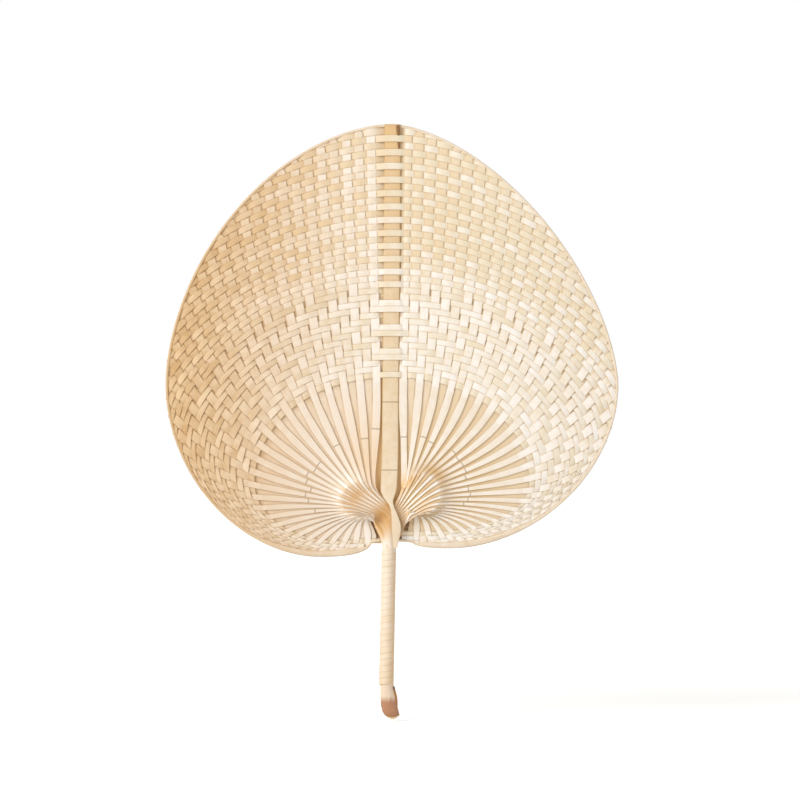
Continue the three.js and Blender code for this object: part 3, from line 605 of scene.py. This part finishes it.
def stakeStrand(side, index, dice):
    place = stakePlace(side, index)
    sign = side["sign"]
    behind = index % 2  # every other stake lies in front
    lift = stakePlan["lift"] if behind else -stakePlan["lift"]
    share = index / (stakePlan["perSide"] - 1)
    strand = {key: [] for key in ("points", "wide", "size", "brink", "raised", "warm", "shift")}

    def put(spot, depth, way, scale, brink, raised, warm=0, shift=0):
        point = (sign * spot.x, depth, spot.y)
        wide = (sign * way[0], way[1], way[2])
        for values, value in zip(strand.values(), (point, wide, scale, brink, -raised * sign, warm, shift)):
            values.append(value)

    # neck: the butts run down together into the handle
    butt = freePoint(side, place, 0)
    leave = (freePoint(side, place, 0.02) - butt).normalized()
    foot = Vector((lerp(stakePlan["footIn"], side["neckFoot"], share), stakePlan["neckBottom"]))
    rise = butt.y - foot.y
    footPull = Vector((0, rise * stakePlan["footReach"]))
    buttPull = leave * rise * stakePlan["buttReach"]
    aside = sign * foot.x - gripShift(foot.y)
    footDepth = math.sqrt(max(0, stakePlan["footRadius"] ** 2 - aside ** 2))
    leastScale = stakePlan["leastScales"][behind]
    neckWarm = side["neckWarm"] * dice.uniform(*stakePlan["warmStray"])
    for step in range(stakePlan["neckSteps"]):
        t = step / stakePlan["neckSteps"]
        spot = bend(foot, footPull, butt, buttPull, t)
        depth = lift * t - lerp(footDepth, stakePlan["neckDepth"], smooth(t))
        scale = lerp(stakePlan["footScale"], leastScale, smooth(t))
        way = (1, -stakePlan["neckTilt"] * sign, 0)
        put(spot, depth, way, scale, 0, 0, neckWarm * smooth(t * 1.4), stakePlan["neckTone"])

    # free stretch: round the knuckle and out to the ring
    fold = math.cos(math.pi * index / 2)  # the gills lie in folds of four stakes
    away = fade(place, 0, 0.35)
    # the stakes behind get painted shade: a darker tone and painted warm shade
    lowWarm = lerp(*side["lowWarm"], away) if behind else 0
    freeTone = side["freeTones"][behind] * lerp(0.2, 1, away)
    crest = stakePlan["hump"] * lerp(stakePlan["ribHump"], 1, fade(place, 0, 0.2))  # lower beside the rib
    split = stakePlan["knuckleShare"]
    tick = None
    pitchShare = stakePlace(side, index + 1) - place

    def roomBeside(pointAt, ahead):  # from this stake's middle line to its neighbour's
        gap = pointAt(place + 0.01) - pointAt(place - 0.01)
        return abs(gap.x * ahead.y - gap.y * ahead.x) / 0.02 * pitchShare

    def freeScale(room):  # the front layer leaves room for the one behind, toned darker as painted shade, to show as dark lines
        cover = stakePlan["backShare"] if behind else side["frontShare"]
        if behind and place > 0.9:  # holes are left between the last stakes beside the neck, dark with the painted shade of the rows behind
            cover *= stakePlan["holeShare"]
        return clamp(room * cover / stakePlan["width"], leastScale, stakePlan["fullScales"][behind])

    def fitScale(room, row):  # woven stakes lie side by side, narrower near the top and closer on the flank
        even, top, flank = stakePlan["wovenShares"]
        cover = lerp(lerp(even, top, fade(row, 10, 20)), flank, fade(place, 0.2, 0.35))
        return clamp(room * cover / stakePlan["width"], stakePlan["narrowest"], stakePlan["widest"])

    for step in range(stakePlan["freeSteps"]):
        t = step / stakePlan["freeSteps"]
        spot = freePoint(side, place, t)
        ahead = (freePoint(side, place, t + 0.01) - freePoint(side, place, max(0, t - 0.01))).normalized()
        room = roomBeside(lambda spread: freePoint(side, spread, t), ahead)
        past = fade(t, split, split + 0.25)
        scale = lerp(freeScale(room), fitScale(room, 0), fade(t, 0.85, 1))
        if index == 0:  # the stake next to the rib keeps its width
            scale = max(scale, side["ribStake"] * fade(t, 0, 0.3) * (1 - fade(t, 0.8, 1)))
        twist = math.asin(clamp(stakePlan["thickness"] * 0.55 / room, 0, 0.9))
        twist *= sign * (1 - fade(t, 0.6, 1))
        normal = Vector((ahead.y, -ahead.x))
        way = (normal.x * math.cos(twist), -math.sin(twist), normal.y * math.cos(twist))
        hump = crest * math.exp(-((t - split) / stakePlan["humpFall"]) ** 2)
        if t < split:
            hump = lerp(stakePlan["neckDepth"], crest, fade(t, 0, split))
        depth = lift - hump + stakePlan["foldDepth"] * fold * fade(t, 0, 0.08) * (1 - past)
        # the folds that lie back are toned darker and warmer, painted shade
        line = max(0, fold) * (1 - past)
        ringward = fade(t, 0.6, 0.95)
        # warmth: the neck's own gold, and painted warm shade on the folds, the stakes behind and the amber
        # patches
        warm = max(
            neckWarm * (1 - fade(t, 0, 0.12)), stakePlan["lineWarm"] * line,
            lowWarm * past * (1 - 0.6 * ringward), spotValue(side["amber"], t, place),
        )
        shade = lerp(side["gillTone"] + stakePlan["lineTone"] * line, freeTone, past)
        # the glow patches paint highlight
        shade -= spotValue(side["glow"], t, place)
        # the stakes behind also get painted shade from the hollow coat
        under = behind * side["lineShade"] * lerp(0.6, 1, past) * fade(t, 0, 0.15) * (1 - ringward)
        put(spot, depth, way, scale, max(past, stakePlan["gillEdge"]), -under, warm, shade)
        up = (spot.y - stakePlan["tickHeight"]) / stakePlan["tickRise"]
        out = (spot.x / side["tickSpan"]) ** 2 + up ** 2
        if tick is None and out > 1 and not behind and place < stakePlan["lastTick"]:
            tick = noTick
            if dice.random() < stakePlan["tickChance"]:
                tick = dice.uniform(-stakePlan["tickStray"], stakePlan["tickStray"])
                for a, b in zip(strand["points"], strand["points"][1:]):
                    tick += (Vector(b) - Vector(a)).length

    # woven stretch: over and under the rows
    length = wovenCurve(side, place)[3]
    swing = stakePlan["swing"]
    row = 0
    lastDepth = lift
    while rowReach(row, place) < length:
        mood = dice.uniform(-stakePlan["unlike"], stakePlan["unlike"])
        over = -weftFace(index + 1, row) * swing
        after = -weftFace(index + 1, row + 1) * swing
        upper = fade(row, 12, 22)
        # the upper rows' stakes and wefts are toned apart, painted light and shade
        shade = mood + lerp(stakePlan["wovenTone"], side["topTones"][0], upper)
        warm = side["topWarm"][0] * upper * (1 - fade(place, 0.1, 0.25))
        for step in range(stakePlan["rowSteps"]):
            t = (step + 0.5) / stakePlan["rowSteps"]
            reach = rowReach(row + t, place)
            if reach > length:
                break
            depth = lerp(over, after, smooth(t - 0.5))
            if t < 0.5:
                depth = lerp(lastDepth, over, smooth(t + 0.5))
            spot = wovenPoint(side, place, reach)
            ahead = wovenTangent(side, place, reach)
            room = roomBeside(lambda spread: wovenPoint(side, spread, reach), ahead)
            scale = fitScale(room, row) * lerp(1, 0.6, fade(reach, length - 3, length))
            put(spot, depth, (ahead.y, 0, -ahead.x), scale, 1, -depth / swing, warm, shade)
        lastDepth = over
        row += 1
    spot = wovenPoint(side, place, length)
    ahead = wovenTangent(side, place, length)
    put(spot, 0, (ahead.y, 0, -ahead.x), stakePlan["endScale"], 1, 0)
    stray = stakePlan["toneStray"]
    # the stakes behind take a darker tone all along, painted shade
    strand["tone"] = stakePlan["tones"][behind] + dice.uniform(-stray, stray)
    strand["tick"] = noTick if tick is None else tick
    return strand


linerPlan = {
    "left": ((1.6, 70), (3.4, 75), (5.4, 78.5), (7.8, 83), (8.7, 88), (8.6, 100), (7.4, 130), (7.0, 172)),
    "right": ((1.6, 70), (2.2, 76), (3.4, 82), (5.2, 88), (5.4, 100), (4.8, 130), (4.8, 172)),
    "depth": 1.1, "scale": 1.25, "warm": 0.7, "tone": 1.9,
    "cordReach": 1.5, "cordDepth": 0.95, "cordScale": 0.8, "cordWarm": 0.3, "cordSteps": 80,
    "shadeRows": ((53.0, 27), (57.2, 31), (61.4, 25)),  # height and reach from the middle
    "shadeStart": 3, "shadeDepth": 1.6, "shadeScales": (0.92, 0.552), "shadeTone": 1.0, "shadeSteps": 8,
}


def linerStrand(side):  # splint toned dark behind the rib's edge: painted shade, a brown line between the rib and the first stake
    points = [(side["sign"] * x, linerPlan["depth"], z) for x, z in linerPlan[side["name"]]]
    count = len(points)
    return {
        "points": points, "wide": [(1, 0, 0)] * count, "size": [linerPlan["scale"]] * count,
        "tone": linerPlan["tone"], "warm": [linerPlan["warm"]] * count,
    }


def shadeStrand(side, height, far):  # brown row behind the hanging stakes: painted shade, seen dark through their gaps
    steps = linerPlan["shadeSteps"]
    strand = {"points": [], "size": [], "tone": linerPlan["shadeTone"]}
    for step in range(steps + 1):
        x = side["sign"] * lerp(linerPlan["shadeStart"], far, step / steps)
        strand["points"].append((x, linerPlan["shadeDepth"], height))
        strand["size"].append(lerp(*linerPlan["shadeScales"], fade(step, steps / 2, steps)))
    strand["wide"] = [(0, 0, 1)] * (steps + 1)
    strand["raised"] = [side["sign"]] * (steps + 1)  # painted shade, brown in front only
    return strand


def cordStrand(side):  # brown splint laid behind the stakes where the weave begins: painted shade seen through their gaps
    steps = linerPlan["cordSteps"]
    strand = {"points": [], "wide": [], "tone": linerPlan["tone"]}
    for step in range(steps + 1):
        place = side["weftEnd"] * step / steps
        spot = wovenPoint(side, place, linerPlan["cordReach"])
        ahead = wovenTangent(side, place, linerPlan["cordReach"])
        strand["points"].append((side["sign"] * spot.x, linerPlan["cordDepth"], spot.y))
        strand["wide"].append((side["sign"] * ahead.x, 0, ahead.y))
    strand["size"] = [linerPlan["cordScale"]] * (steps + 1)
    strand["warm"] = [linerPlan["cordWarm"]] * (steps + 1)
    return strand


def makeStakes():
    dice = random.Random(stakePlan["seed"])
    pieces = []
    for side in sideShapes:
        strands = [stakeStrand(side, index, dice) for index in range(stakePlan["perSide"])]
        strands += [linerStrand(side), cordStrand(side)]
        name = "stakes" + side["name"].capitalize()
        pieces.append(sweep(name, strands, stakeBamboo, stakePlan["width"], stakePlan["thickness"]))
    return pieces


def makeShades():
    strands = [shadeStrand(side, *row) for side in sideShapes for row in linerPlan["shadeRows"]]
    return sweep("neckShades", strands, shadedBamboo, stakePlan["width"], stakePlan["thickness"])


# wefts

weftPlan = {
    "gap": -0.1, "thickness": 0.4, "swing": 0.46, "ribHalf": 5.7, "ribDepth": 1.05, "tip": 0.4,
    "unlike": 0.3, "lens": 0.07, "tilt": 0.13, "stakeSteps": 4, "seed": 23,
    "firstTone": 0.8, "tone": 0.36, "toneStray": 0.3, "topTone": 0.2,
}


def weftHalf(side, row, dice):  # from the rib out to the rim, or on round the eye to the neck
    full = rowPitch - weftPlan["gap"]
    marks = [(0.0, weftFace(0, row) * weftPlan["ribDepth"], 0)]
    for index in range(stakePlan["perSide"]):
        mood = dice.uniform(-weftPlan["unlike"], weftPlan["unlike"])
        marks.append((stakePlace(side, index), weftFace(index + 1, row) * weftPlan["swing"], mood))
    marks.append((side["weftEnd"], 0, 0))
    half = {key: [] for key in ("points", "wide", "size", "raised", "shift", "warm")}
    upper = fade(row, 12, 22)
    for (placeA, depthA, moodA), (placeB, depthB, moodB) in zip(marks, marks[1:]):
        for step in range(weftPlan["stakeSteps"]):
            t = step / weftPlan["stakeSteps"]
            place = lerp(placeA, placeB, t)
            low = rowReach(row, place) + weftPlan["gap"] / 2
            top = wovenCurve(side, place)[3]
            if row < weavePlan["rows"] - 1:  # the last row fills what is left below the rim
                top = min(top, rowReach(row + 1, place) - weftPlan["gap"] / 2)
            if top - low < weftPlan["tip"]:
                return half
            spot = wovenPoint(side, place, (low + top) / 2)
            if placeA == 0:  # the row stays level over the rib's full width
                nextSpot = wovenPoint(side, placeB, (low + top) / 2)
                t = clamp((spot.x - weftPlan["ribHalf"]) / (nextSpot.x - weftPlan["ribHalf"]), 0, 1)
            across = wovenPoint(side, place, top) - wovenPoint(side, place, low)
            way = across.normalized()
            depth = lerp(depthA, depthB, smooth(t))
            flank = fade(place, 0.2, 0.45)
            raised = clamp(-depth / weftPlan["swing"], -1, 1)
            lens = 1 + weftPlan["lens"] * flank * (raised - 0.3)  # squeezed narrow where it dives
            near = 1 - fade(place, 0.2, 0.4)
            mood = lerp(moodA, moodB, smooth(t))
            half["points"].append((side["sign"] * spot.x, depth, spot.y))
            half["wide"].append((side["sign"] * way.x, weftPlan["tilt"] * flank, way.y))
            half["size"].append(across.length / full * lens)
            half["raised"].append(raised)
            # painted light and shade in the upper rows near the rib
            half["shift"].append(mood + side["topTones"][1] * upper * near)
            half["warm"].append(max(0, side["topWarm"][1] * (1 + 2 * mood) * upper * near))
    return half


def makeWefts():
    dice = random.Random(weftPlan["seed"])
    strands = []
    for row in range(weavePlan["rows"]):
        left, right = [weftHalf(side, row, dice) for side in sideShapes]
        strand = {key: list(reversed(left[key][1:])) + right[key] for key in left}
        strand["tone"] = weftPlan["firstTone"]
        if row:
            stray = dice.uniform(-weftPlan["toneStray"], weftPlan["toneStray"])
            strand["tone"] = weftPlan["tone"] + stray + weftPlan["topTone"] * fade(row, 18, 30)
        strands.append(strand)
    width = rowPitch - weftPlan["gap"]
    twill = weavePlan["twillRows"]
    parts = (("weftTwill", strands[:twill]), ("weftPlain", strands[twill:]))
    return [sweep(name, rows, weftBamboo, width, weftPlan["thickness"]) for name, rows in parts]


# edging along the rim

rimPlan = {
    "thickness": 1.7, "tone": 0.6, "cornerSteps": 14, "lobeSteps": 30, "topSteps": 60,
    "neckRise": 1.0, "bendOffset": 10.5, "bendRise": 0.5,  # where it runs from the neck to the corner
}


def makeRim():
    halves = []
    for side in sideShapes:
        corner = leafPlan["cornerHeight"]
        half = [
            Vector((side["rimEnd"], corner + rimPlan["neckRise"])),
            Vector((rimPlan["bendOffset"], corner + rimPlan["bendRise"])),
        ]
        for spotAt, steps, first in (
            (lobePoint, rimPlan["cornerSteps"], 90), (lobePoint, rimPlan["lobeSteps"], 0),
            (outlinePoint, rimPlan["topSteps"], 0),
        ):
            half += [spotAt(side, first + 90 * step / steps) for step in range(steps, 0, -1)]
        halves.append([(side["sign"] * point.x, point.y) for point in half])
    outline = halves[0] + [(0, leafPlan["top"])] + list(reversed(halves[1]))
    strand = {"points": [], "wide": [], "size": [], "tone": rimPlan["tone"]}
    for step, (x, z) in enumerate(outline):
        lobe = fade(abs(x), 14, 26) * (1 - fade(abs(x), 60, 110)) * (1 - fade(z, 60, 90))
        width = lerp(leafPlan["edging"], leafPlan["lobeEdging"], lobe)
        before = Vector(outline[max(0, step - 1)])
        after = Vector(outline[min(len(outline) - 1, step + 1)])
        along = (after - before).normalized()
        inward = Vector((along.y, -along.x))
        spot = Vector((x, z)) + inward * width / 2
        strand["points"].append((spot.x, 0, spot.y))
        strand["wide"].append((inward.x, 0, inward.y))
        strand["size"].append(width / leafPlan["edging"])
    size = (leafPlan["edging"], rimPlan["thickness"])
    return sweep("rimEdging", [strand], rimBamboo, *size, edge=0.7, crown=0.6)


# binding of the grip

bindingPlan = {
    "turns": 22, "turnSteps": 24, "thickness": 0.6, "cover": 0.99, "tone": 0.1, "lowTone": 0.3,
    "faintest": 0.05, "clearest": 0.35, "rightShadeWarm": 0.42, "lowWarm": 0.12, "seed": 5,
}


def makeBinding():
    turns, turnSteps = bindingPlan["turns"], bindingPlan["turnSteps"]
    width = gripPlan["length"] / (turns + 1) * bindingPlan["cover"]
    start = -gripPlan["length"] / 2 + width / 2
    steps = turns * turnSteps
    dice = random.Random(bindingPlan["seed"])
    faint = [dice.uniform(bindingPlan["faintest"], bindingPlan["clearest"]) for turn in range(turns + 1)]
    strand = {"points": [], "brink": [], "shift": [], "warm": [], "tone": bindingPlan["tone"]}
    for step in range(steps + 1):
        turn = 2 * math.pi * step / turnSteps
        low = 1 - step / steps
        height = start + (gripPlan["length"] - width) * step / steps
        x = gripPlan["radius"] * math.cos(turn) + gripShift(height)
        strand["points"].append((x, gripPlan["radius"] * math.sin(turn), height))
        strand["brink"].append(faint[step // turnSteps])
        strand["shift"].append(bindingPlan["lowTone"] * low)
        paintedRightShade = bindingPlan["rightShadeWarm"] * max(0, math.cos(turn)) ** 1.5  # painted warm shade on its right side
        strand["warm"].append(paintedRightShade + bindingPlan["lowWarm"] * low)
    strand["wide"] = [(0, 0, 1)] * (steps + 1)
    thickness = bindingPlan["thickness"]
    return sweep("gripBinding", [strand], bindingBamboo, width, thickness, edge=0.08, crown=0.1)


# centre rib: a slat with two joint scars, drawn to a tail that bends over the neck

ribPlan = {
    "width": 11.0, "thickness": 1.4, "scars": (142.4, 97.3), "scarSwell": 0.03, "scarSpread": 1.5,
    "tone": 0.4, "tones": (-0.25, 0.5), "topWarm": 0.3, "endWarm": 0.15,
    # height, centre, width and depth of the slat, from the top down
    "line": [
        (326.0, 0.4, 10.6, -1.2), (316, 0.4, 10.8, 0), (250, 0, 11, 0), (145, -1.0, 11, 0),
        (112, -1.2, 11.2, -0.2), (92, -1.8, 11.3, -0.8), (86, -2.1, 11.2, -1.6), (83.4, -2.3, 10.6, -2.1),
        (81, -2.3, 9.0, -2.6), (78.8, -2.1, 6.8, -3.6), (76.4, -1.4, 4.2, -4.6), (74, -0.4, 3.0, -5.2),
        (71.5, 0.5, 3.0, -5.4), (68.6, 1.4, 4.0, -5.5), (62.4, 2.7, 6.0, -5.5), (57.5, 2.9, 6.2, -5.4),
        (52.5, 2.5, 4.8, -5.3), (46, 2.0, 3.0, -4.9),
    ],
}


def smoothLine(marks, step):  # Catmull-Rom through the marks, about one point per step of length
    points = []
    for index in range(len(marks) - 1):
        a, b, c, d = [Vector(marks[clamp(index + shift, 0, len(marks) - 1)]) for shift in (-1, 0, 1, 2)]
        count = max(2, int(abs(c[0] - b[0]) / step))
        for part in range(count):
            t = part / count
            held = b * 2 + (c - a) * t + (a * 2 - b * 5 + c * 4 - d) * t ** 2
            points.append((held + (b * 3 - a - c * 3 + d) * t ** 3) / 2)
    points.append(Vector(marks[-1]))
    return points


def makeRib():
    strand = {"points": [], "size": [], "shift": [], "warm": [], "tone": ribPlan["tone"]}
    scars = dict(zip(("tick", "tickB"), ribPlan["scars"]))
    run = 0.0
    for height, middle, width, depth in smoothLine(ribPlan["line"], 3.0):
        spot = Vector((middle, depth, height))
        if strand["points"]:
            run += (spot - Vector(strand["points"][-1])).length
        strand["points"].append(tuple(spot))
        swell = 0
        for key, scar in scars.items():
            swell += ribPlan["scarSwell"] * math.exp(-((height - scar) / ribPlan["scarSpread"]) ** 2)
            if height < scar:
                strand.setdefault(key, run - (scar - height))
        strand["size"].append(width / ribPlan["width"] + swell)
        strand["shift"].append(lerp(*ribPlan["tones"], fade(height, 60, 280)))
        warm = ribPlan["topWarm"] * fade(height, 220, 310)
        strand["warm"].append(warm + ribPlan["endWarm"] * fade(height, 308, 314))
    strand["wide"] = [(1, 0, 0)] * len(strand["points"])
    size = (ribPlan["width"], ribPlan["thickness"])
    return sweep("centreRib", [strand], ribBamboo, *size, edge=0.25, crown=0.3)


# handle rod: the filled neck, the part under the binding and the bare tip with its pale cut end

rodPlan = {
    # height, centre, width, depth and how far the middle of the edge hangs below its sides
    "sections": [
        (77, 0, 3.0, 3.0, 0), (70, -0.3, 7.0, 4.4, 0), (61, -1.0, 13.0, 5.0, 0), (53, -1.8, 10.5, 6.8, 0),
        (47.5, -2.0, 8.6, 8.4, 0), (44, -2.1, 8.2, 8.2, 0), (0, -2.92, 8.2, 8.2, 0), (-44, -3.6, 8.2, 8.2, 0),
        (-47, -3.4, 8.5, 8.0, 0), (-53.6, -2.4, 10.4, 7.8, 0), (-58.3, -2.0, 10.8, 7.6, 0.2),
        (-62.5, -1.0, 10.9, 7.2, 0.6), (-64.6, -0.1, 10.2, 6.6, 1.7), (-65.2, 0.2, 9.6, 6.2, 2.0),
        (-65.8, 0.4, 7.6, 5.0, 1.8),
    ],
    "corners": 28, "cutBands": 2,
}


def makeRod():
    rings = []
    for height, middle, width, depth, bow in rodPlan["sections"]:
        ring = []
        for corner in range(rodPlan["corners"]):
            turn = 2 * math.pi * corner / rodPlan["corners"]
            x = middle + width / 2 * math.cos(turn)
            ring.append(metres((x, depth / 2 * math.sin(turn), height - bow * math.sin(turn) ** 2)))
        rings.append(ring)
    points = [point for ring in rings for point in ring]
    faces = []
    count = rodPlan["corners"]
    for step in range(len(rings) - 1):
        for corner in range(count):
            after = (corner + 1) % count
            faces.append((
                step * count + corner, (step + 1) * count + corner,
                (step + 1) * count + after, step * count + after,
            ))
    firstCut = len(faces) - rodPlan["cutBands"] * count
    faces.append(tuple(range(count)))
    last = (len(rings) - 1) * count
    # the cut end hangs lower in its middle, so it is closed with a fan of triangles
    points.append(sum(rings[-1], Vector()) / count)
    for corner in range(count):
        faces.append((last + (corner + 1) % count, last + corner, len(points) - 1))
    mesh = bpy.data.meshes.new("handleRod")
    mesh.from_pydata(points, [], faces)
    mesh.materials.append(rodBamboo)
    mesh.materials.append(cutBamboo)
    for polygon in mesh.polygons:
        polygon.use_smooth = polygon.index < firstCut
        if polygon.index >= firstCut and len(polygon.vertices) < count:
            polygon.material_index = 1
    print("handleRod lofted:", len(faces), "faces")
    return addObject("handleRod", mesh)


sliverAndShadowPlan = {
    "width": 2.2, "thickness": 1.2, "tone": 0.5,
    # height, centre, width's share and depth of the sliver and of the painted shadow strip
    "lines": [
        [
            (-60, 2.5, 1.1, -1.2), (-55, 2.6, 1.0, -1.4), (-51, 2.1, 0.8, -1.4), (-48, 1.5, 0.6, -1.3),
            (-45.8, 1.2, 0.45, -1.3),
        ],
        [
            (309.5, 4.6, 0.5, -0.5), (313, 4.5, 0.8, -0.5), (318, 4.4, 1.0, -0.6), (322, 4.1, 1.1, -1.1),
            (325.6, 3.8, 1.0, -1.6),
        ],
    ],
}


def makeSliverAndShadow():  # a thin split with dark points stands up beside the tip, and a dark strip on the rib's end is painted shadow along its right edge
    strands = []
    for line in sliverAndShadowPlan["lines"]:
        strand = {"points": [], "wide": [], "size": [], "tone": sliverAndShadowPlan["tone"]}
        for height, middle, scale, depth in smoothLine(line, 0.8):
            strand["points"].append((middle, depth, height))
            strand["wide"].append((1, 0, 0))
            strand["size"].append(scale)
        strands.append(strand)
    return sweep("sliverAndRibShadow", strands, darkBamboo, sliverAndShadowPlan["width"], sliverAndShadowPlan["thickness"], crown=0.6)


stakePieces = makeStakes()
shadePiece = makeShades()
weftPieces = makeWefts()
rimPiece = makeRim()
bindingPiece = makeBinding()
ribPiece = makeRib()
rodPiece = makeRod()
sliverAndShadowPiece = makeSliverAndShadow()

stakeNames = [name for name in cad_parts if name.startswith("stake_")]
weftNames = sorted(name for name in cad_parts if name.startswith("weft_"))
for piece, side in zip(stakePieces, sideShapes):
    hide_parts(*[name for name in stakeNames if side["name"] in name])
twillNodes = round(len(weftNames) * weavePlan["twillRows"] / weavePlan["rows"])
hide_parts(*weftNames[:twillNodes])
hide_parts(*weftNames[twillNodes:])
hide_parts("rim_edging")
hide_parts("handle_binding")
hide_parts("centre_rib")
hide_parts("handle_core")
for piece in stakePieces + weftPieces + [rimPiece, bindingPiece, ribPiece, rodPiece, sliverAndShadowPiece, shadePiece]:
    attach(piece, "root")
print("pieces ride on the fan's one body")


# floor, light and camera

stagePlan = {
    "floor": "f4f2ee", "floorSize": 12.0, "floorRoughness": 0.9, "floorLift": 0.42, "farLift": 0.7,
    "nearEdge": 0.3, "farEdge": 1.2, "world": 0.48, "key": 29.0, "fill": 3.5,
    "lampSize": 1.2, "lampAim": (0, 0, 0.15),
}


def seenShare(tree):  # 1 for what the eye sees, straight or by gloss or glass, and 0 for light on the object
    path = addNode(tree, "ShaderNodeLightPath").outputs
    share = path["Is Camera Ray"]
    for ray in ("Is Glossy Ray", "Is Transmission Ray"):
        share = addNode(tree, "ShaderNodeMath", {0: share, 1: path[ray]}, operation="MAXIMUM")
    return share


def makeStage():
    lowest = cadBox[0][2]
    half = stagePlan["floorSize"] / 2
    mesh = bpy.data.meshes.new("floor")
    corners = [(x * half, y * half, lowest) for x, y in ((-1, -1), (1, -1), (1, 1), (-1, 1))]
    mesh.from_pydata(corners, [], [(0, 1, 2, 3)])
    floor = addObject("floor", mesh)
    finish, tree = newMaterial("paleFloor")
    place = addNode(tree, "ShaderNodeTexCoord").outputs["Object"]
    away = addNode(tree, "ShaderNodeVectorMath", {0: place}, operation="LENGTH")
    glow = addNode(tree, "ShaderNodeMapRange", {
        "Value": away.outputs["Value"], "From Min": stagePlan["nearEdge"], "From Max": stagePlan["farEdge"],
        "To Min": stagePlan["floorLift"], "To Max": stagePlan["farLift"],
    })
    lift = addNode(tree, "ShaderNodeMath", {0: seenShare(tree), 1: glow}, operation="MULTIPLY")
    setInputs(tree, tree.nodes["Principled BSDF"], {
        "Base Color": colour(stagePlan["floor"]), "Roughness": stagePlan["floorRoughness"],
        "Emission Color": (1, 1, 1, 1), "Emission Strength": lift,  # white to the eye, with the shadow kept
    })
    mesh.materials.append(finish)
    world = bpy.data.worlds.new("studio")
    world.use_nodes = True
    tree = world.node_tree
    power = addNode(tree, "ShaderNodeMapRange", {
        "Value": seenShare(tree), "To Min": stagePlan["world"], "To Max": 1.0,
    })
    setInputs(tree, tree.nodes["Background"], {"Color": (1, 1, 1, 1), "Strength": power})
    bpy.context.scene.world = world


def makeLamp(name, place, watts):
    data = bpy.data.lights.new(name, "AREA")
    data.size = stagePlan["lampSize"]
    data.energy = watts
    lamp = addObject(name, data)
    lamp.location = place
    aim = Vector(stagePlan["lampAim"]) - Vector(place)
    lamp.rotation_euler = aim.to_track_quat("-Z", "Y").to_euler()


cameraPlan = {"distance": 2.4, "x": 0.0082, "z": 0.1437, "span": 0.5298, "sensor": 36}


def makeCamera():
    data = bpy.data.cameras.new("camera")
    data.sensor_width = cameraPlan["sensor"]
    data.lens = cameraPlan["sensor"] * cameraPlan["distance"] / cameraPlan["span"]
    camera = addObject("camera", data)
    camera.location = (cameraPlan["x"], -cameraPlan["distance"], cameraPlan["z"])
    camera.rotation_euler = (math.radians(90), 0, 0)
    bpy.context.scene.camera = camera


makeStage()
makeLamp("keyLamp", (-1.5, -1.1, 1.0), stagePlan["key"])
makeLamp("fillLamp", (1.2, -1.2, 0.4), stagePlan["fill"])
makeCamera()
bpy.context.scene.view_settings.view_transform = "Standard"
print("stage, lamps and camera set")
